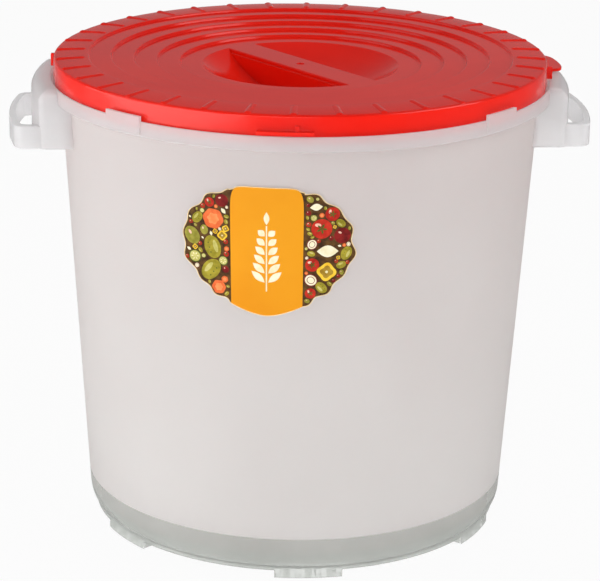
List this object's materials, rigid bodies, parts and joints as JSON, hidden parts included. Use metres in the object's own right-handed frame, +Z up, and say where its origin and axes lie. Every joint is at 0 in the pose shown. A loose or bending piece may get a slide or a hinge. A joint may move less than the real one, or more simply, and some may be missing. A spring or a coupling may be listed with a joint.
{
  "type": "pickling tub",
  "caption": "Round translucent plastic tub with a rounded base on low feet, a collar with two open side handles, and a red press-on lid with a hand recess and grip bar.",
  "frame": {"origin": "middle of the circle on which the feet stand, on the floor under the axis of the tub", "axes": "+Z up along the axis of the tub, +X through the handle beside the pull tab of the lid, -Y towards the front, where the label is"},
  "size_m": [0.391, 0.339, 0.3224],
  "materials": {
    "tub_plastic": "translucent natural polypropylene, fine matt texture outside, polished at the round corner of the base",
    "lid_plastic": "opaque red moulded plastic with a satin gloss",
    "label_film": null
  },
  "bodies": {
    "tub": {"tub": "tub_plastic", "label": "label_film"},
    "lid": {"lid": "lid_plastic"}
  },
  "joints": [
    {"name": "lid_lift", "type": "slide", "parent": "tub", "child": "lid", "axis": [0, 0, 1], "range_m": [0, 0.09]}
  ]
}
